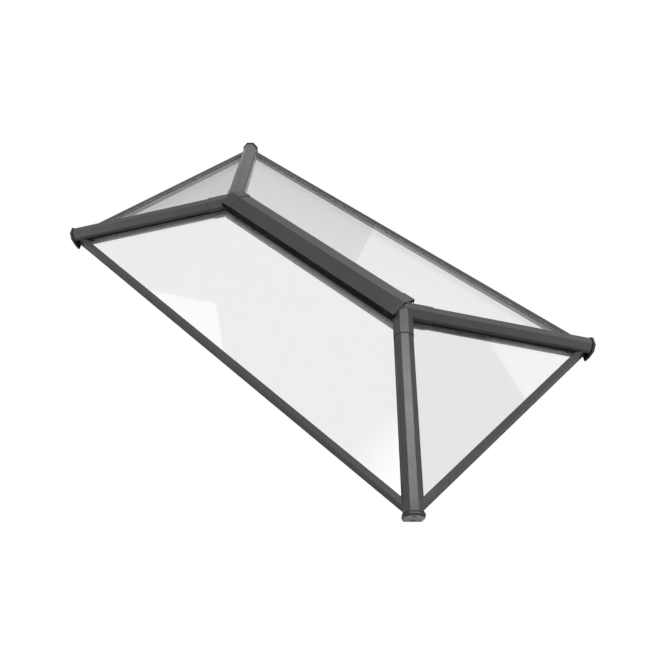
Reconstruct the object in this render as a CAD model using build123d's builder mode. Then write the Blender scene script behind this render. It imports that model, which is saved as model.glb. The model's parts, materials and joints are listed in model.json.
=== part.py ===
from build123d import *
from math import cos, sin, tan, radians, sqrt, atan2, hypot
import os

# Hipped roof lantern, glazed on four slopes. All sizes in mm, Z up, X along the ridge.
os.makedirs("parts", exist_ok=True)

# Overall sizes
length = 2070.0          # eaves frame over its outer faces, along the ridge
width = 1070.0           # eaves frame over its outer faces, across the ridge
pitch = 20.0             # slope of all four glazed faces
base = 14.0              # underside of the eaves frame above the toes of the corner caps

# Eaves frame section
eaves_h = 45.0
lip_w = 19.5             # top lip, measured in from the outer face
ledge_w = 22.0
frame_in = 22.6          # what meets the frame from inside stops here
wall = 3.0
drip = 4.0               # bevel along the bottom outer edge
corner_cut = 12.0        # frame corners are trimmed square to the hip, this far up it

# Sealed glass units
glass_rise = 33.0        # upper glass surface at the outer face of the frame, above the frame's underside
pane_t = 4.0
cavity = 16.0
edge_in = 8.0            # glass edge in from the outer face
hip_gap = 12.0           # glass edge to the hip's centre plane
ridge_gap = 34.0         # glass edge to the ridge's centre plane
seal_w = 12.0
seal_in = 2.5

# Hip cover section: half widths across and heights above the line where the glass planes meet
hip_top_a, hip_top_w = 14.2, 35.8
hip_knee_a, hip_knee_w = 33.2, 12.8
hip_foot_a, hip_foot_w = 35.3, 0.5
cover_t = 2.5
edge_r = 1.5             # rounded outer edges of the pressed covers
gasket_a = 37.2          # half width of the black hip gasket where it meets the glass

# Ridge cover section: a shallow gable with a turned-down edge
ridge_half, ridge_drop, ridge_apex = 57.9, 22.8, 50.2
ridge_lip = 11.0
kerb_half = 51.5         # half width of the raised black body under the ridge cover
kerb_t = 4.0
collar_inner, collar_outer = 48.0, 7.0        # collar's ends, before and past the hips' meeting point
collar_grow = 2.3
collar_lip = 17.0

# Junction cover at each end of the ridge, and the room cover below it
sleeve_grow = 2.6
sleeve_len = 111.0
bevel = 1.2              # bevelled ends of the sleeves and collars
under_half, under_w = 32.0, -40.5
under_t = 2.5
under_grow = 2.6
ridge_under_half, ridge_under_side = 50.0, 16.5

# Corner cap: a body flush with the hip cover and an eight-sided lid over its end
cap_len = 44.0           # the cap's body, up the hip
cap_t = 2.8
rim_in, rim_out, lid_out = 6.0, -1.5, -6.0     # lid along the hip: rim edge, bevel and outer face
rim_t = 1.8
lid_bevel = 5.0
lid_top_a, lid_top_w = 17.5, 38.7
lid_side_a, lid_side_w = 38.0, 14.0
lid_low_a, lid_low_w = 38.5, -24.0
lid_end_a = 33.0
screw_w, screw_r = 18.0, 6.5                   # recess for the fixing screw
slot_w, slot_long, slot_high = -27.0, 17.0, 9.0

half_l, half_w = length / 2, width / 2
slope = tan(radians(pitch))
steep = cos(radians(pitch))
glass_t = 2 * pane_t + cavity
arris = base + glass_rise                     # glass plane height at the outer face
apex_x = half_l - half_w                      # plan position of the hips' meeting point
arris_top = arris + half_w * slope            # the two long glass planes meet here
hip_pitch = atan2(slope, sqrt(2))
hip_len = half_w * sqrt(2) / cos(hip_pitch)
hip_fall = slope / sqrt(2) * cos(hip_pitch)    # how far the glass drops away from a hip, per mm sideways
under_drop = glass_t / cos(atan2(hip_fall, 1.0))
lid_end_w = -(arris + rim_out * sin(hip_pitch)) / cos(hip_pitch)    # the lid's toe reaches down to z = 0
collar_from, collar_to = apex_x - collar_inner, apex_x + collar_outer
far = 2 * length                              # longer than anything here, for cutting tools

corners = {"front_left": (-1, -1), "front_right": (1, -1), "back_left": (-1, 1), "back_right": (1, 1)}
sides = {"front": (0, -1), "back": (0, 1), "left": (-1, 0), "right": (1, 0)}


def inner_line(points, t):
    """The same open chain of points, moved t to its right."""
    moved = []
    for (x0, y0), (x1, y1) in zip(points, points[1:]):
        n = hypot(x1 - x0, y1 - y0)
        dx, dy = (y1 - y0) / n * t, -(x1 - x0) / n * t
        moved.append(((x0 + dx, y0 + dy), (x1 + dx, y1 + dy)))
    out = [moved[0][0]]
    for ((ax, ay), (bx, by)), ((cx, cy), (dx, dy)) in zip(moved, moved[1:]):
        den = (bx - ax) * (dy - cy) - (by - ay) * (dx - cx)
        s = ((cx - ax) * (dy - cy) - (cy - ay) * (dx - cx)) / den
        out.append((ax + s * (bx - ax), ay + s * (by - ay)))
    out.append(moved[-1][1])
    return out


def grown(points, t):
    """A section's chain moved out by t, run from left foot to right foot."""
    return inner_line(points, -t)


def sheet(points, t):
    """A bent sheet's section: the chain and its inner side."""
    return points + inner_line(points, t)[::-1]


def mirrored(points):
    """Right half of a section, top first, made whole and run from left foot to right foot."""
    return [(-a, w) for a, w in reversed(points)] + list(points)


def footed(points, w):
    """The same chain with both end legs run on, straight, down to height w."""
    def foot(a, b):
        return (b[0] + (b[0] - a[0]) * (w - b[1]) / (b[1] - a[1]), w)
    return [foot(points[1], points[0])] + list(points[1:-1]) + [foot(points[-2], points[-1])]


def down_to(points, w):
    """A chain closed into a room: both ends dropped upright to height w."""
    return [(points[0][0], w)] + list(points) + [(points[-1][0], w)]


def prism(plane, points, amount, rounds=(), radius=edge_r):
    """A solid of one section, run out from a plane, with the named section corners rounded."""
    spots = {(round(a, 2), round(w, 2)) for a, w in rounds}
    with BuildPart() as body:
        with BuildSketch(plane) as section:
            with BuildLine():
                Polyline(*points, close=True)
            make_face()
            picked = [v for v in section.vertices() if (round(v.X, 2), round(v.Y, 2)) in spots]
            if picked:
                fillet(picked, radius)
        extrude(amount=amount)
    return body.part


def ruled(plane_a, points_a, plane_b, points_b):
    """A solid with straight sides between two like sections."""
    with BuildPart() as body:
        for plane, points in ((plane_a, points_a), (plane_b, points_b)):
            with BuildSketch(plane):
                with BuildLine():
                    Polyline(*points, close=True)
                make_face()
        loft(ruled=True)
    return body.part


def hip_plane(sx, sy, u=0.0):
    """Square to a hip at distance u up it: local x is sideways, local y is up from the roof."""
    up = Vector(-sx, -sy, slope).normalized()
    side = Vector(-sy, sx, 0).normalized()
    if up.cross(side).Z < 0:
        side = -side
    origin = Vector(sx * half_l, sy * half_w, arris) + up * u
    return Plane(origin=origin, x_dir=side, z_dir=up)


def cross_plane(x):
    """Square to the ridge at x: local x is across (Y), local y is Z."""
    return Plane(origin=(x, 0, 0), x_dir=(0, 1, 0), z_dir=(1, 0, 0))


def beyond(sx, x, sy=0, y=0.0):
    """All space past x towards one end, and past y towards one side where sy is given."""
    deep = far if sy else 2 * far
    return Pos(sx * (x + far / 2), sy * (y + far / 2), 0) * Box(far, deep, far)


def largest(part):
    """The biggest solid of a cut piece, without slivers that the cut left."""
    return Part() + max(part.solids(), key=lambda s: s.volume)


def export(part, name):
    part.label = name
    export_step(part, f"parts/{name}.step")


# Room taken by the eaves frame, used to trim what meets it
with BuildPart() as corner_tools:
    for sx, sy in corners.values():
        with Locations(hip_plane(sx, sy, corner_cut - width / 8).location):
            Box(width / 4, width / 4, width / 4)

with BuildPart() as frame_block:
    with BuildSketch(Plane.XY.offset(base)):
        Rectangle(length, width)
        Rectangle(length - 2 * frame_in, width - 2 * frame_in, mode=Mode.SUBTRACT)
    extrude(amount=eaves_h)
    add(corner_tools.part, mode=Mode.SUBTRACT)

# Eaves frame: four mitred channels that grip the glass edge, with a skirt outside
glass_in = glass_rise - glass_t / steep        # lower glass surface at the outer face
bend = drip + wall * (sqrt(2) - 1)             # inner corners of the bevelled bottom edge
frame_section = [
    (0, drip), (drip, 0), (drip + wall, 0), (drip + wall, wall), (bend, wall), (wall, bend),
    (wall, glass_in - wall + wall * slope), (ledge_w, glass_in - wall + ledge_w * slope),
    (ledge_w, glass_in + ledge_w * slope), (wall, glass_in + wall * slope), (wall, eaves_h - 2.8),
    (lip_w - 2.6, eaves_h - 2.8), (lip_w - 2.6, glass_rise + 1.8 + (lip_w - 2.6) * slope),
    (lip_w, glass_rise + 1.8 + lip_w * slope), (lip_w, eaves_h), (1.5, eaves_h), (0, eaves_h - 1.5),
]
strip_section = [(a, glass_rise + a * slope + lift) for a, lift in (
    (lip_w - 3.2, 0), (lip_w + 3, 0), (lip_w + 3, 1.2), (lip_w, 1.8), (lip_w - 2.6, 1.8), (lip_w - 3.2, 1.4))]


def side_run(section, sx, sy):
    """A section run along one side of the frame and mitred at both corners."""
    run = half_l if sy else half_w
    inward = Vector(-sx, -sy, 0)
    along = inward.cross(Vector(0, 0, 1))
    origin = Vector(sx * half_l if sx else 0, sy * half_w if sy else 0, base)
    start = Plane(origin=origin - along * (run + wall), x_dir=inward, z_dir=along)
    body = prism(start, section, 2 * (run + wall))
    for end in (-1, 1):
        mitre = (along * -end + inward * -1).normalized()
        body = split(body, bisect_by=Plane(origin=origin + along * (end * run), z_dir=mitre), keep=Keep.TOP)
    return body - corner_tools.part


for name, (sx, sy) in sides.items():
    export(side_run(frame_section, sx, sy), f"eaves_{name}")
    export(side_run(strip_section, sx, sy), f"eaves_gasket_{name}")

# Glass units: outer pane, inner pane and the edge seal between them
under_glass = Pos(0, 0, base + far / 2) * Box(length - 2 * frame_in, width - 2 * frame_in, far)
for name, (sx, sy) in sides.items():
    run = half_l if sy else half_w
    top_in = (half_w - ridge_gap) if sy else half_w - hip_gap * sqrt(2) - 1.5 * hip_gap
    up = Vector(-sx, -sy, slope).normalized()
    normal = Vector(sx * slope, sy * slope, 1).normalized()
    plane = Plane(origin=(sx * half_l if sx else 0, sy * half_w if sy else 0, arris),
                  x_dir=up.cross(normal), z_dir=normal)
    lowest, highest = run - edge_in - hip_gap * sqrt(2), run - top_in - hip_gap * sqrt(2)
    outline = [(-lowest, edge_in / steep), (lowest, edge_in / steep),
               (highest, top_in / steep), (-highest, top_in / steep)]
    for label, depth in (("outer", 0), ("inner", pane_t + cavity)):
        export(prism(plane.offset(-depth), outline, -pane_t), f"pane_{label}_{name}")
    with BuildPart() as spacer:
        for inset, mode in ((seal_in, Mode.ADD), (seal_in + seal_w, Mode.SUBTRACT)):
            with BuildSketch(plane.offset(-pane_t)):
                with BuildLine():
                    Polyline(*outline, close=True)
                make_face()
                offset(amount=-inset, kind=Kind.INTERSECTION)
            extrude(amount=-cavity, mode=mode)
    export(spacer.part, f"edge_seal_{name}")
    below = Plane(origin=plane.origin - normal * glass_t, z_dir=normal * -1)
    under_glass = split(under_glass, bisect_by=below, keep=Keep.TOP)

# Hip covers, gaskets and room-side beams
hip_chain = mirrored([(hip_top_a, hip_top_w), (hip_knee_a, hip_knee_w), (hip_foot_a, hip_foot_w)])
foot_in = inner_line(hip_chain, cover_t)[-1]
gasket_half = [
    (0, 2.0), (31, 2.0 - 31 * hip_fall), (31.6, foot_in[1]), foot_in, (hip_foot_a, hip_foot_w),
    (35.6, 2.0 - 35.6 * hip_fall),
    (gasket_a, 1.0 - gasket_a * hip_fall), (gasket_a, -gasket_a * hip_fall), (0, 0),
]
gasket_section = gasket_half + [(-a, w) for a, w in gasket_half[-2:0:-1]]


def under_box(half, w, t):
    """Room-side beam's section below the glass, t inside its outer faces."""
    side, roof = half - t, -under_drop - (t * 1.2 if t else 0)
    return [(-side, roof - side * hip_fall), (-side, w + t), (side, w + t), (side, roof - side * hip_fall), (0, roof)]


meet = 42.0              # covers stop this far short of the hips' meeting point
beam_from = 10.0
hip_beams = {}
for name, (sx, sy) in corners.items():
    cover = prism(hip_plane(sx, sy, cap_len), sheet(hip_chain, cover_t), hip_len - meet - cap_len,
                  rounds=hip_chain[1:-1])
    export(largest(cover - frame_block.part), f"hip_cover_{name}")
    gasket = prism(hip_plane(sx, sy, cap_len + 2), gasket_section, hip_len - cap_len)
    gasket = (gasket - frame_block.part) & beyond(sx, apex_x - 2, sy, 0.05)
    export(largest(gasket), f"hip_gasket_{name}")
    beam = prism(hip_plane(sx, sy, beam_from), under_box(under_half, under_w, 0), hip_len + under_half)
    beam -= prism(hip_plane(sx, sy, beam_from), under_box(under_half, under_w, under_t), hip_len + under_half)
    hip_beams[name] = largest(beam & beyond(sx, apex_x - 44, sy, 0.1) & under_glass)
    export(hip_beams[name], f"hip_beam_{name}")

# Ridge sections
top = arris_top + ridge_apex
ridge_chain = mirrored([(0.0, top), (ridge_half, top - ridge_drop), (ridge_half, top - ridge_drop - ridge_lip)])
ridge_chain.pop(2)                             # the apex, once
soffit = inner_line(ridge_chain, cover_t)      # the cover's underside
cover_end = collar_to - 2.0
ridge_cover = prism(cross_plane(-cover_end), sheet(ridge_chain, cover_t), 2 * cover_end,
                    rounds=[ridge_chain[1], ridge_chain[3]])
export(ridge_cover, "ridge_cover")

# Ridge ends: a collar over the cover and a junction cover with a sleeve over each hip cover
sleeve_foot = hip_foot_w - 2.0
sleeve_chain = footed(grown(hip_chain, sleeve_grow), sleeve_foot)
sleeve_tip = footed(grown(hip_chain, sleeve_grow - bevel), sleeve_foot)
bore_chain = grown(hip_chain, 0.1)


def collar_section(grow):
    """The ridge collar's section, grow outside the ridge cover."""
    lip_w = top - ridge_drop - collar_lip
    outer, inner = grown(ridge_chain, grow), grown(ridge_chain, 0.1)
    for chain in (outer, inner):
        chain[0], chain[-1] = (chain[0][0], lip_w), (chain[-1][0], lip_w)
    return outer + inner[::-1]


def ridge_end(sx):
    """Collar round the end of the ridge cover, with both ends bevelled."""
    x = [sx * v for v in (collar_from, collar_from + bevel, collar_to - bevel, collar_to)]
    full, slim = collar_section(collar_grow), collar_section(collar_grow - bevel)
    with BuildPart() as body:
        add(ruled(cross_plane(x[0]), slim, cross_plane(x[1]), full))
        add(prism(cross_plane(x[1]), full, x[2] - x[1]))
        add(ruled(cross_plane(x[2]), full, cross_plane(x[3]), slim))
    return body.part


def junction_cover(sx):
    """Two sleeves that meet under the collar, open below and bored for the hip covers."""
    start = hip_len - sleeve_len
    reach = sleeve_len + under_half
    with BuildPart() as body:
        for sy in (-1, 1):
            add(ruled(hip_plane(sx, sy, start), sleeve_tip, hip_plane(sx, sy, start + bevel), sleeve_chain))
            add(prism(hip_plane(sx, sy, start + bevel), sleeve_chain, reach - bevel))
        for sy in (-1, 1):
            add(prism(hip_plane(sx, sy, start - 1), down_to(bore_chain, 2 * under_w), reach + 2 * under_half),
                mode=Mode.SUBTRACT)
    # what lies under the ridge cover stays below its soffit
    leg = ridge_half - cover_t - 0.2
    lowered = [(-leg, 0)] + [(y, z - 0.2) for y, z in soffit[1:-1]] + [(leg, 0)]
    covered = beyond(-sx, -collar_to - 0.2) - prism(cross_plane(sx * (collar_to + 1)), lowered, -sx * far)
    return largest(body.part - covered - beyond(-sx, 25 - apex_x))


def junction_under(sx):
    """Room cover below the junction: a bent sheet round the ends of both hip beams."""
    half, w, gap = under_half + under_grow, under_w - under_grow, 0.1
    roof = -under_drop - under_half * hip_fall - 0.2
    ext = [(-half, roof - under_grow * hip_fall), (-half, w), (half, w), (half, roof - under_grow * hip_fall),
           (under_half + gap, roof), (under_half + gap, under_w - gap),
           (-under_half - gap, under_w - gap), (-under_half - gap, roof)]
    hole = down_to([(-under_half - gap, under_w - gap), (under_half + gap, under_w - gap)], hip_top_w)
    with BuildPart() as body:
        for sy in (-1, 1):
            add(prism(hip_plane(sx, sy, hip_len - 100), ext, 140))
        for sy in (-1, 1):
            add(prism(hip_plane(sx, sy, hip_len - 101), hole, 180), mode=Mode.SUBTRACT)
    return largest((body.part - beyond(-sx, 44 - apex_x)) & under_glass)


junctions = {}
under_covers = {}
for name, sx in (("left", -1), ("right", 1)):
    junctions[name], under_covers[name] = junction_cover(sx), junction_under(sx)
    export(ridge_end(sx), f"ridge_end_{name}")
    export(junctions[name], f"junction_cover_{name}")
    export(under_covers[name], f"junction_under_{name}")

# Ridge body and room-side beam, run on until they meet the hips
fall = ridge_drop / ridge_half
under_apex = soffit[2][1]
body_chain = [(-kerb_half, arris_top - kerb_half * slope), (-kerb_half, under_apex - kerb_half * fall),
              (0, under_apex), (kerb_half, under_apex - kerb_half * fall), (kerb_half, arris_top - kerb_half * slope)]
body_in = inner_line(body_chain, kerb_t)
foot_z = arris_top - (kerb_half - kerb_t) * slope
body_in[0], body_in[-1] = (body_in[0][0], foot_z), (body_in[-1][0], foot_z)
body_end = apex_x + collar_outer - 4.0
hip_room = down_to(grown(hip_chain, sleeve_grow + 0.1), 2 * under_w)

beam_top = arris_top - glass_t / steep
beam_side = beam_top - ridge_under_half * slope


def ridge_box(t):
    """Room-side ridge beam's section, t inside its outer faces."""
    side, roof = ridge_under_half - t, beam_side - 0.8 * t
    low = beam_side - ridge_under_side + t
    return [(-side, roof), (-side, low), (side, low), (side, roof), (0, beam_top - 1.2 * t)]


with BuildPart() as ridge_body:
    add(prism(cross_plane(-body_end), body_chain + body_in[::-1], 2 * body_end))
    for sx, sy in corners.values():
        add(prism(hip_plane(sx, sy, hip_len - sleeve_len), hip_room, sleeve_len + 8), mode=Mode.SUBTRACT)
    for junction in junctions.values():
        add(junction, mode=Mode.SUBTRACT)
export(largest(ridge_body.part), "ridge_body")

under_room_half = under_half + under_grow + 0.1
under_room = down_to([(-under_room_half, hip_top_w), (under_room_half, hip_top_w)], 3 * under_w)
with BuildPart() as ridge_beam:
    add(prism(cross_plane(-apex_x - 2), ridge_box(0), 2 * apex_x + 4))
    add(prism(cross_plane(-apex_x - 2), ridge_box(wall), 2 * apex_x + 4), mode=Mode.SUBTRACT)
    add(under_glass, mode=Mode.INTERSECT)
    for sx, sy in corners.values():
        add(prism(hip_plane(sx, sy, hip_len - 100), under_room, 108), mode=Mode.SUBTRACT)
    for met in (*under_covers.values(), *hip_beams.values()):
        add(met, mode=Mode.SUBTRACT)
export(largest(ridge_beam.part), "ridge_beam")

# Corner caps
lid_half = [(lid_top_a, lid_top_w), (lid_side_a, lid_side_w), (lid_low_a, lid_low_w), (lid_end_a, lid_end_w)]


def inset(half, t):
    """The lid's closed outline, t inside."""
    loop = mirrored(half)
    ring = inner_line([loop[-1]] + loop + [loop[0]], t)
    return ring[1:-1]


def corner_cap(sx, sy):
    """Body flush with the hip cover, a spigot inside it, and a bevelled lid with a turned-in rim."""
    rim = mirrored(lid_half)
    with BuildPart() as cap:
        add(prism(hip_plane(sx, sy, rim_out), sheet(hip_chain, cap_t), cap_len - rim_out,
                  rounds=hip_chain[1:-1]))
        spigot = footed(inner_line(hip_chain, cover_t + 0.1), 6.0)
        add(prism(hip_plane(sx, sy, cap_len - 4), sheet(spigot, 1.8), 24))
        with BuildPart(mode=Mode.PRIVATE) as ring:
            add(prism(hip_plane(sx, sy, rim_out), rim, rim_in - rim_out))
            add(prism(hip_plane(sx, sy, rim_out), inset(lid_half, rim_t), rim_in - rim_out), mode=Mode.SUBTRACT)
        add(ring.part)
        add(ruled(hip_plane(sx, sy, lid_out), inset(lid_half, lid_bevel), hip_plane(sx, sy, rim_out), rim))
        with BuildSketch(hip_plane(sx, sy, lid_out)):
            with Locations((0, slot_w)):
                SlotOverall(slot_long, slot_high)
        extrude(amount=rim_out - lid_out, mode=Mode.SUBTRACT)
        with BuildSketch(hip_plane(sx, sy, lid_out)):
            with Locations((0, screw_w)):
                Circle(screw_r)
        extrude(amount=2.0, mode=Mode.SUBTRACT)
        add(frame_block.part, mode=Mode.SUBTRACT)
    return largest(cap.part)


for name, (sx, sy) in corners.items():
    export(corner_cap(sx, sy), f"corner_cap_{name}")
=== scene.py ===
import json
import math

import bmesh
import bpy
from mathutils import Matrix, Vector


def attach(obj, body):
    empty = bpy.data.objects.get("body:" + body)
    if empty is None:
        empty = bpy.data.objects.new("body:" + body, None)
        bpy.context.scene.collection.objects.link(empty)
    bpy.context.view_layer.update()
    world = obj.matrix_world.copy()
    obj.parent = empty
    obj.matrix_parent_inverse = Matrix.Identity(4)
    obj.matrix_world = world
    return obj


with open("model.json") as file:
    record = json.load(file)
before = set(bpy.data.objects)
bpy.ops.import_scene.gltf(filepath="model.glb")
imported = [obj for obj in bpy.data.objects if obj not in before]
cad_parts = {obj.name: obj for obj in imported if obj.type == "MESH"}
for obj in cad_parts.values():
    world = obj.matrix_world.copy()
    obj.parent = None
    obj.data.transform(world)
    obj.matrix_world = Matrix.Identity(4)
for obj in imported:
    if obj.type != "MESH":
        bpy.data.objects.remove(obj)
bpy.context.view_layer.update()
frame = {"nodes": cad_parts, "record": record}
nodes = frame["nodes"]


def mirrored(half):
    """A symmetric section, from the (a, w) points of its right half."""
    return half + [(-a, w) for a, w in reversed(half)]


# Camera: the photograph's viewing angle, found from the eaves, hips and ridge
CAMERA_AT = (1.7198, -1.5917, 2.1470)
CAMERA_AZIMUTH = 45.05           # degrees, from the front towards the right end
CAMERA_DOWN = 45.421             # degrees below the horizon
CAMERA_SENSOR = 36.0             # mm
CAMERA_LENS = 39.354             # mm
CAMERA_CLIP = (0.05, 200.0)

# Lamps, in metres. Each has its centre, the point it faces, its width and height, and its
# strength: its power over pi, width and height, which is a rectangle's radiance, where 1 is white.
LAMPS = {
    "overhead": ((0.65, 0.45, 4.2), (0.65, 0.45, 0), 1.8, 1.8, 15.0),
    "left_box": ((-2.904, -1.406, 3.422), (-2.197, -0.699, 3.422), 0.9, 1.2, 1.9),
    "front_panel": ((-0.4, -4.6, 1.7), (0, 0, 0.2), 2.5, 2.0, 3.8),
    "left_panel": ((-4.4, 2.3, 3.0), (-1.0, 0, 0.1), 2.0, 0.9, 2.0),
    "back_panel": ((0.9, 4.0, 2.45), (0.9, 0, 2.45), 6.3, 4.4, 0.78),
    "right_panel": ((4.5, 1.0, 2.3), (0, 1.0, 0.7), 1.9, 2.8, 2.4),
}
LEFT_BOX_ROLL = math.radians(8.3)

# A stack of soft lamps, each larger than the one below, so that the bright zone on the panes fades outwards
SOFT_COUNT = 8
SOFT_X, SOFT_Y, SOFT_Z = -0.2, -1.25, 4.2
SOFT_FACES = (-0.2, -0.75, 0)
SOFT_APART = 0.01
SOFT_WIDTH, SOFT_WIDER = 0.6, 0.17
SOFT_HEIGHT, SOFT_HIGHER = 0.9, 0.15
SOFT_STRENGTH = 0.3
for step in range(SOFT_COUNT):
    LAMPS[f"soft_{step}"] = ((SOFT_X, SOFT_Y, SOFT_Z + SOFT_APART * step), SOFT_FACES,
                             SOFT_WIDTH + SOFT_WIDER * step, SOFT_HEIGHT + SOFT_HIGHER * step, SOFT_STRENGTH)

# The flag: a dark board above the back that the camera doesn't see and the right pane reflects
FLAG = [(-1.2, 0.9, 4.7), (4.4, 0.9, 4.7), (4.4, 4.0, 4.7), (-1.2, 4.0, 4.7)]
FLAG_GREY = 0.01

# World and floor, in metres. In gloss the floor is grey round one point and white further off.
WORLD_LIGHT = 0.38
FLOOR_GREY, FLOOR_ROUGH = 0.45, 0.9
FLOOR_HALF = 60.0
FLOOR_DROP = 0.0005              # below the toes of the caps, so that no faces coincide
NEAR_FLOOR = (1.2, -1.1, 0)
GREY_WITHIN, WHITE_BEYOND = 2.1, 2.6

# Places on the roof, in mm as in the CAD source
HALF_L, HALF_W = 1035.0, 535.0
ARRIS = 47.0                     # glass plane height at the outer face of the eaves
SLOPE = math.tan(math.radians(20.0))
HIP_STRETCH = math.sqrt(2 + SLOPE * SLOPE)    # a hip's length over the half width that it spans
SLEEVE_FROM = HALF_W * HIP_STRETCH - 111.0    # up the hip, the sleeves' lower ends
HIP_COVER = mirrored([(35.3, 0.5), (33.2, 12.8), (14.2, 35.8)])
CORNERS = {"front_left": (-1, -1), "front_right": (1, -1), "back_left": (-1, 1), "back_right": (1, 1)}

# The small pieces, in mm. Sections are (a, w): sideways from the hip and up from the roof.
SEAT_GAP = 0.05                  # between a hip cover and the rubber over it
# The pads' arch is a black fill for the shade between a cap's body and its lid's rim, painted shade; the
# block under it is a black seal block
PAD_SHADE_ARCH = mirrored([(35.9, 0.4), (35.9, 13.2), (16.5, 36.7)])
PAD_BLOCK = mirrored([(36.3, 0.35), (36.3, -23.0), (20.0, -38.5)])
PAD_FROM, ARCH_TO, BLOCK_TO = -1.4, 9.0, 11.8
# Painted shade: a thin black strip at each sleeve's lower end stands for the shade in the gap there
SHADE_STRIP_THICK, SHADE_STRIP_LONG = 1.2, 0.8
SCREW_W = 18.0                   # height of its axis, with the head given as (radius, u)
SCREW_HEAD = [(5.6, -4.05), (5.6, -4.9), (5.2, -5.4), (4.2, -5.75), (2.3, -5.9), (2.3, -4.6)]

# Looks. Greys are linear, and noise has its features per metre and its detail.
TONE_NOISE, TONE_DRIFT = (7.0, 4.0), 0.06
ROUGH_NOISE, ROUGH_DRIFT = (16.0, 2.0), 0.03
DRIFT_OVER = (0.3, 0.7)          # the part of the noise over which tone and gloss drift
PEEL_DETAIL, PEEL_STRENGTH = 2.0, 0.5
MOULDED = {"rough": 0.38, "peel": 1400.0, "depth": 0.00004}
RUBBER = {"rough": 0.65, "peel": 2200.0}
LID_TO, LID_EDGE = 9.5, 0.3      # mm up the hip to where the caps' lids end, and either side of it
# Painted light on the caps' lids: a pale painted reflection on their outer faces, and painted shade, darker
# and duller, round their rims
LID_REFLECTION_GREY, RIM_SHADE_GREY, RIM_SHADE_SPECULAR = 0.25, 0.03, 0.18
LID_FACING = (0.85, 0.95)        # how far a normal points down the hip, from the rims to the outer faces
# Painted shade on the ridge parts' upright faces, their turned-down edges: nearly black, with little gloss
UPRIGHT_SHADE_GREY, UPRIGHT_SHADE_SPECULAR = 0.004, 0.08
UPRIGHT_TO_FLAT = (0.2, 0.4)     # how far a normal points up or down
GLASS_CLEAR, GLASS_GLOSS, GLASS_ROUGH = 0.982, 0.45, 0.02
GLASS_HEAD_ON, GLASS_POWER = 0.04, 5.0


def opaque(grey):
    """A grey as a colour."""
    return grey, grey, grey, 1


def tree(name):
    """A new node material, its node tree and its Principled shader."""
    mat = bpy.data.materials.new(name)
    mat.use_nodes = True
    return mat, mat.node_tree, mat.node_tree.nodes["Principled BSDF"]


def put(nt, socket, value):
    """Feeds an input from another node's output, or gives it a value of its own."""
    if isinstance(value, bpy.types.NodeSocket):
        nt.links.new(value, socket)
    else:
        socket.default_value = value


def add(nt, kind, **values):
    """A node with its inputs and properties set by name."""
    node = nt.nodes.new(kind)
    for key, value in values.items():
        if key in node.inputs:
            put(nt, node.inputs[key], value)
        else:
            setattr(node, key, value)
    return node


def maths(nt, operation, *values):
    """A number worked out from others, each a socket or a value."""
    node = add(nt, "ShaderNodeMath", operation=operation)
    for socket, value in zip(node.inputs, values):
        put(nt, socket, value)
    return node.outputs[0]


def vector_maths(nt, operation, *values):
    """A vector or number worked out from vectors, each a socket or a value."""
    node = add(nt, "ShaderNodeVectorMath", operation=operation)
    for socket, value in zip(node.inputs, values):
        put(nt, socket, value)
    return node.outputs["Value" if operation in ("DOT_PRODUCT", "DISTANCE") else "Vector"]


def map_range(nt, value, from_min, from_max, to_min=0.0, to_max=1.0):
    """The value, mapped and clamped from one range to the other."""
    node = add(nt, "ShaderNodeMapRange", Value=value)
    limits = {"From Min": from_min, "From Max": from_max, "To Min": to_min, "To Max": to_max}
    for key, limit in limits.items():
        node.inputs[key].default_value = limit
    return node.outputs["Result"]


def blend(nt, share, first, second):
    """A colour from first to second by share, where either may be a socket or a grey."""
    mix = add(nt, "ShaderNodeMix", data_type="RGBA")
    nt.links.new(share, mix.inputs["Factor"])
    for key, colour in (("A", first), ("B", second)):
        put(nt, mix.inputs[key], opaque(colour) if isinstance(colour, float) else colour)
    return mix.outputs["Result"]


def mix_shaders(nt, share, first, second):
    """The first shader, giving way to the second by share."""
    mix = add(nt, "ShaderNodeMixShader", Fac=share)
    nt.links.new(first.outputs[0], mix.inputs[1])
    nt.links.new(second.outputs[0], mix.inputs[2])
    return mix.outputs[0]


def noise(nt, scale, detail):
    """Noise over the object's own coordinates."""
    coords = add(nt, "ShaderNodeTexCoord")
    node = add(nt, "ShaderNodeTexNoise", Scale=scale, Detail=detail, Vector=coords.outputs["Object"])
    return node.outputs["Fac"]


def drift(nt, scale, detail, low, high):
    """A grey that drifts between low and high with a noise."""
    node = add(nt, "ShaderNodeValToRGB", Fac=noise(nt, scale, detail))
    for element, position, grey in zip(node.color_ramp.elements, DRIFT_OVER, (low, high)):
        element.position = position
        element.color = opaque(grey)
    return node.outputs["Color"]


def coated(name, grey, rough=0.34, peel=900.0, depth=0.00006, specular=0.5, special=None):
    """Powder-coated or moulded surface: fine orange peel, and faint drift in tone and gloss."""
    mat, nt, shader = tree(name)
    tone = drift(nt, *TONE_NOISE, grey * (1 - TONE_DRIFT), grey * (1 + TONE_DRIFT))
    gloss = drift(nt, *ROUGH_NOISE, rough - ROUGH_DRIFT, rough + ROUGH_DRIFT)
    grain = noise(nt, peel, PEEL_DETAIL)
    bump = add(nt, "ShaderNodeBump", Strength=PEEL_STRENGTH, Distance=depth, Height=grain)
    put(nt, shader.inputs["Roughness"], gloss)
    put(nt, shader.inputs["Normal"], bump.outputs["Normal"])
    put(nt, shader.inputs["Specular IOR Level"], specular)
    if special:
        tone = special(nt, tone, shader, specular)
    put(nt, shader.inputs["Base Color"], tone)
    return mat


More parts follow.
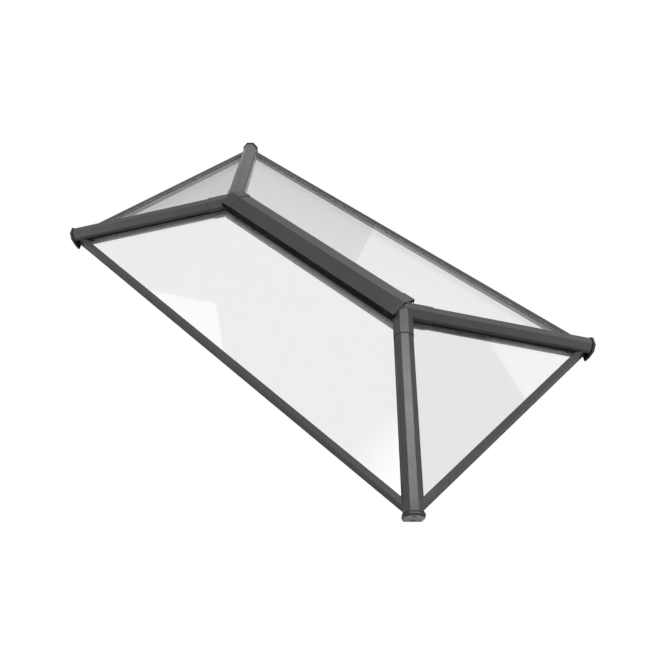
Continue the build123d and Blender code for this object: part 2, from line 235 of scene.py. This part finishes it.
def lid_painted_light(nt, tone, shader, specular):
    """The caps' tone, with painted light: a painted reflection makes the lids' outer faces paler, and
    painted shade makes the lids a little darker and duller round their rims.
    """
    up = Vector((-1, -1, SLOPE)) / HIP_STRETCH
    lid_end = (SLOPE * ARRIS - HALF_L - HALF_W) / HIP_STRETCH + LID_TO
    geometry = add(nt, "ShaderNodeNewGeometry")
    position = geometry.outputs["Position"]
    up_hip = vector_maths(nt, "DOT_PRODUCT", vector_maths(nt, "ABSOLUTE", position), up)
    down_hip = vector_maths(nt, "MULTIPLY", vector_maths(nt, "SIGN", position), -up)
    outward = vector_maths(nt, "DOT_PRODUCT", down_hip, geometry.outputs["True Normal"])
    on_lid = map_range(nt, up_hip, (lid_end - LID_EDGE) / 1000, (lid_end + LID_EDGE) / 1000, 1.0, 0.0)
    put(nt, shader.inputs["Specular IOR Level"], map_range(nt, on_lid, 0.0, 1.0, specular, RIM_SHADE_SPECULAR))
    return blend(nt, map_range(nt, outward, *LID_FACING), blend(nt, on_lid, tone, RIM_SHADE_GREY), LID_REFLECTION_GREY)


def upright_painted_shade(nt, tone, shader, specular):
    """The tone, with painted shade: nearly black and dull on upright faces, the shaded turned-down edges of
    the ridge parts.
    """
    geometry = add(nt, "ShaderNodeNewGeometry")
    split = add(nt, "ShaderNodeSeparateXYZ", Vector=geometry.outputs["True Normal"])
    flat = maths(nt, "ABSOLUTE", split.outputs["Z"])
    dull = map_range(nt, flat, *UPRIGHT_TO_FLAT, UPRIGHT_SHADE_SPECULAR, specular)
    put(nt, shader.inputs["Specular IOR Level"], dull)
    return blend(nt, map_range(nt, flat, *UPRIGHT_TO_FLAT), UPRIGHT_SHADE_GREY, tone)


def glass(name):
    """Clear float glass: straight through, with more gloss towards grazing angles."""
    mat, nt, shader = tree(name)
    nt.nodes.remove(shader)
    through = add(nt, "ShaderNodeBsdfTransparent", Color=opaque(GLASS_CLEAR))
    shine = add(nt, "ShaderNodeBsdfGlossy", Color=opaque(GLASS_GLOSS), Roughness=GLASS_ROUGH)
    facing = add(nt, "ShaderNodeLayerWeight", Blend=0.5)
    grazing = maths(nt, "POWER", facing.outputs["Facing"], GLASS_POWER)
    share = maths(nt, "MULTIPLY_ADD", grazing, 1 - GLASS_HEAD_ON, GLASS_HEAD_ON)
    nt.links.new(mix_shaders(nt, share, through, shine), nt.nodes["Material Output"].inputs["Surface"])
    return mat


# The finishes: those of the record's slots, and a few special ones
FINISHES = {
    "coated_grey": {"grey": 0.042, "specular": 0.22},
    # The ridge parts carry painted shade on their upright faces
    "coated_ridge": {"grey": 0.042, "specular": 0.1, "special": upright_painted_shade},
    "moulded_grey": {"grey": 0.044, "specular": 0.22, **MOULDED},
    # The caps carry painted light: a painted reflection on the lids' outer faces, painted shade round their
    # rims
    "moulded_cap": {"grey": 0.044, "specular": 0.22, "special": lid_painted_light, **MOULDED},
    "moulded_ridge": {"grey": 0.044, "specular": 0.1, "special": upright_painted_shade, **MOULDED},
    "room_side_grey": {"grey": 0.4, "specular": 0.3, "rough": 0.45},
    "ridge_body_black": {"grey": 0.004, "specular": 0.1, "rough": 0.6},
    "gasket_rubber": {"grey": 0.008, "specular": 0.08, **RUBBER},
    # Painted reflection: a pale grey on rubber for the bright surroundings it mirrors at grazing angles
    "rubber_painted_reflection": {"grey": 0.35, "specular": 0.2, **RUBBER},
    "eaves_rubber": {"grey": 0.04, "specular": 0.2, **RUBBER},
    "edge_seal": {"grey": 0.2, "rough": 0.5},
    "screw": {"grey": 0.03, "specular": 0.4, "rough": 0.35},
}
MATERIALS = {name: coated(name, **values) for name, values in FINISHES.items()}
MATERIALS.update({name: glass(name) for name in ("outer_glass", "inner_glass")})

# Nodes with a special finish, by how their names start. The first that fits counts.
# The back and left gaskets take the rubber with a painted reflection; the others stay black
SPECIAL = {"eaves_gasket_back": "rubber_painted_reflection", "eaves_gasket_left": "rubber_painted_reflection",
           "hip_gasket_back_left": "rubber_painted_reflection", "eaves_gasket": "eaves_rubber",
           "ridge_cover": "coated_ridge", "ridge_end": "moulded_ridge", "corner_cap": "moulded_cap"}


def dress():
    """Gives every CAD node the material of its slot in the record, or a special one of its own."""
    for entry in frame["record"]["subparts"]:
        special = [finish for start, finish in SPECIAL.items() if entry["node"].startswith(start)]
        mesh = nodes[entry["node"]].data
        mesh.materials.clear()
        mesh.materials.append(MATERIALS[special[0] if special else entry["material_slot"]])


def place(name, data):
    """A new object in the scene."""
    obj = bpy.data.objects.new(name, data)
    bpy.context.scene.collection.objects.link(obj)
    return obj


def turn(obj, ahead):
    """Turns a lamp or the camera to look along a direction."""
    obj.rotation_euler = ahead.to_track_quat("-Z", "Y").to_euler()


def hip_point(sx, sy, u, a, w):
    """A point in metres: u up the hip from its lower end, a sideways, w up from the roof."""
    up = Vector((-sx, -sy, SLOPE)).normalized()
    side = Vector((sy, -sx, 0)).normalized()
    return (Vector((sx * HALF_L, sy * HALF_W, ARRIS)) + up * u + side * a + up.cross(side) * w) / 1000


def run(sx, sy, outline, low, high):
    """A closed section (a, w) run along a hip from low to high."""
    n = len(outline)
    points = [hip_point(sx, sy, u, a, w) for u in (low, high) for a, w in outline]
    sides = [(i, (i + 1) % n, n + (i + 1) % n, n + i) for i in range(n)]
    return points, sides + [tuple(range(n)), tuple(range(n, 2 * n))]


def spun(sx, sy, w, profile, steps=28):
    """A round shape about an axis along the hip, w up from the roof, from (radius, u) points."""
    angles = [2 * math.pi * i / steps for i in range(steps)]
    points = [hip_point(sx, sy, u, r * math.cos(t), w + r * math.sin(t)) for r, u in profile for t in angles]
    faces = []
    last = len(points) - steps
    for low in range(0, last, steps):
        high = low + steps
        for i in range(steps):
            after = (i + 1) % steps
            faces.append((low + i, low + after, high + after, high + i))
    return points, faces + [tuple(range(steps)), tuple(range(last, last + steps))]


def swollen(chain, t):
    """An open chain of section points moved t to its outer side, mitred at its corners."""
    lines = []
    for (ax, ay), (bx, by) in zip(chain, chain[1:]):
        n = math.hypot(bx - ax, by - ay)
        dx, dy = (by - ay) / n * t, -(bx - ax) / n * t
        lines.append(((ax + dx, ay + dy), (bx + dx, by + dy)))
    out = [lines[0][0]]
    for ((ax, ay), (bx, by)), ((cx, cy), (dx, dy)) in zip(lines, lines[1:]):
        den = (bx - ax) * (dy - cy) - (by - ay) * (dx - cx)
        k = ((cx - ax) * (dy - cy) - (cy - ay) * (dx - cx)) / den
        out.append((ax + k * (bx - ax), ay + k * (by - ay)))
    return out + [lines[-1][1]]


def piece(name, mesh_parts, material):
    """A separate piece on the skylight, from (points, faces) parts in metres."""
    bm = bmesh.new()
    for points, faces in mesh_parts:
        verts = [bm.verts.new(p) for p in points]
        for face in faces:
            bm.faces.new([verts[i] for i in face])
    bmesh.ops.recalc_face_normals(bm, faces=bm.faces)
    mesh = bpy.data.meshes.new(name)
    bm.to_mesh(mesh)
    bm.free()
    mesh.materials.append(MATERIALS[material])
    obj = place(name, mesh)
    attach(obj, "root")


def small_pieces():
    """Corner pads between lid and frame, whose arch is painted shade, lid screws, and thin black strips of
    painted shade at the sleeves' lower ends.
    """
    inner = swollen(HIP_COVER, SEAT_GAP)[::-1]
    shade_section = swollen(HIP_COVER, SHADE_STRIP_THICK) + inner
    for name, (sx, sy) in CORNERS.items():
        pad = [run(sx, sy, PAD_SHADE_ARCH + inner, PAD_FROM, ARCH_TO), run(sx, sy, PAD_BLOCK, PAD_FROM, BLOCK_TO)]
        piece(f"corner_pad_{name}", pad, "gasket_rubber")
        piece(f"lid_screw_{name}", [spun(sx, sy, SCREW_W, SCREW_HEAD)], "screw")
        piece(f"sleeve_shade_strip_{name}", [run(sx, sy, shade_section, SLEEVE_FROM - SHADE_STRIP_LONG, SLEEVE_FROM)],
              "gasket_rubber")


def seen_white(nt, in_gloss=True):
    """1 for rays that show the background: direct, through glass and, if in_gloss, in reflections."""
    path = add(nt, "ShaderNodeLightPath")
    seen = maths(nt, "MAXIMUM", path.outputs["Is Camera Ray"], path.outputs["Is Transmission Ray"])
    return maths(nt, "MAXIMUM", seen, path.outputs["Is Glossy Ray"]) if in_gloss else seen


def sky():
    """World: an even light, white where it is seen."""
    world = bpy.data.worlds.new("studio")
    bpy.context.scene.world = world
    world.use_nodes = True
    nt = world.node_tree
    nt.nodes.clear()
    light = add(nt, "ShaderNodeBackground", Color=opaque(1), Strength=WORLD_LIGHT)
    white = add(nt, "ShaderNodeBackground", Color=opaque(1), Strength=1.0)
    add(nt, "ShaderNodeOutputWorld", Surface=mix_shaders(nt, seen_white(nt), light, white))


def floor_paint():
    """Floor: white where it is seen, and in gloss grey near the object, with its shadow."""
    mat, nt, shader = tree("floor")
    put(nt, shader.inputs["Base Color"], opaque(FLOOR_GREY))
    put(nt, shader.inputs["Roughness"], FLOOR_ROUGH)
    white = add(nt, "ShaderNodeEmission", Color=opaque(1), Strength=1.0)
    coords = add(nt, "ShaderNodeTexCoord")
    distance = vector_maths(nt, "DISTANCE", coords.outputs["Object"], NEAR_FLOOR)
    gloss = maths(nt, "MULTIPLY", seen_white(nt), map_range(nt, distance, GREY_WITHIN, WHITE_BEYOND))
    shown = maths(nt, "MAXIMUM", gloss, seen_white(nt, in_gloss=False))
    nt.links.new(mix_shaders(nt, shown, shader, white), nt.nodes["Material Output"].inputs["Surface"])
    return mat


def flag_paint():
    """Flag: dark, with no shine."""
    mat, nt, shader = tree("flag")
    put(nt, shader.inputs["Base Color"], opaque(FLAG_GREY))
    put(nt, shader.inputs["Specular IOR Level"], 0.0)
    return mat


def sheet(name, corners, material):
    """A flat four-sided object."""
    mesh = bpy.data.meshes.new(name)
    mesh.from_pydata(corners, [], [(0, 1, 2, 3)])
    mesh.materials.append(material)
    return place(name, mesh)


def lamp(name, centre, faces, width, height, strength):
    """An area lamp that the camera doesn't see, elliptical if it is the overhead or a soft one."""
    data = bpy.data.lights.new(name, "AREA")
    data.shape = "ELLIPSE" if name.startswith(("overhead", "soft")) else "RECTANGLE"
    data.size, data.size_y = width, height
    data.energy = strength * math.pi * width * height
    obj = place(name, data)
    obj.location = centre
    turn(obj, Vector(faces) - Vector(centre))
    obj.visible_camera = False
    return obj


def studio():
    """World, floor, lamps and flag."""
    sky()
    half = FLOOR_HALF
    corners = [(-half, -half, 0), (half, -half, 0), (half, half, 0), (-half, half, 0)]
    floor = sheet("floor", corners, floor_paint())
    floor.location.z = -FLOOR_DROP

    lamps = {name: lamp(name, *values) for name, values in LAMPS.items()}
    lamps["left_box"].rotation_euler.rotate_axis("Z", LEFT_BOX_ROLL)

    flag = sheet("flag", FLAG, flag_paint())
    flag.visible_camera = False
    flag.visible_shadow = False


def camera():
    """The photograph's camera."""
    data = bpy.data.cameras.new("camera")
    data.lens = CAMERA_LENS
    data.sensor_width = CAMERA_SENSOR
    data.clip_start, data.clip_end = CAMERA_CLIP
    obj = place("camera", data)
    obj.location = CAMERA_AT
    azimuth, down = math.radians(CAMERA_AZIMUTH), math.radians(CAMERA_DOWN)
    level = math.cos(down)
    turn(obj, Vector((-math.sin(azimuth) * level, math.cos(azimuth) * level, -math.sin(down))))
    bpy.context.scene.camera = obj


bpy.context.scene.view_settings.view_transform = "Standard"
bpy.context.scene.cycles.transparent_max_bounces = 32
dress()
small_pieces()
studio()
camera()
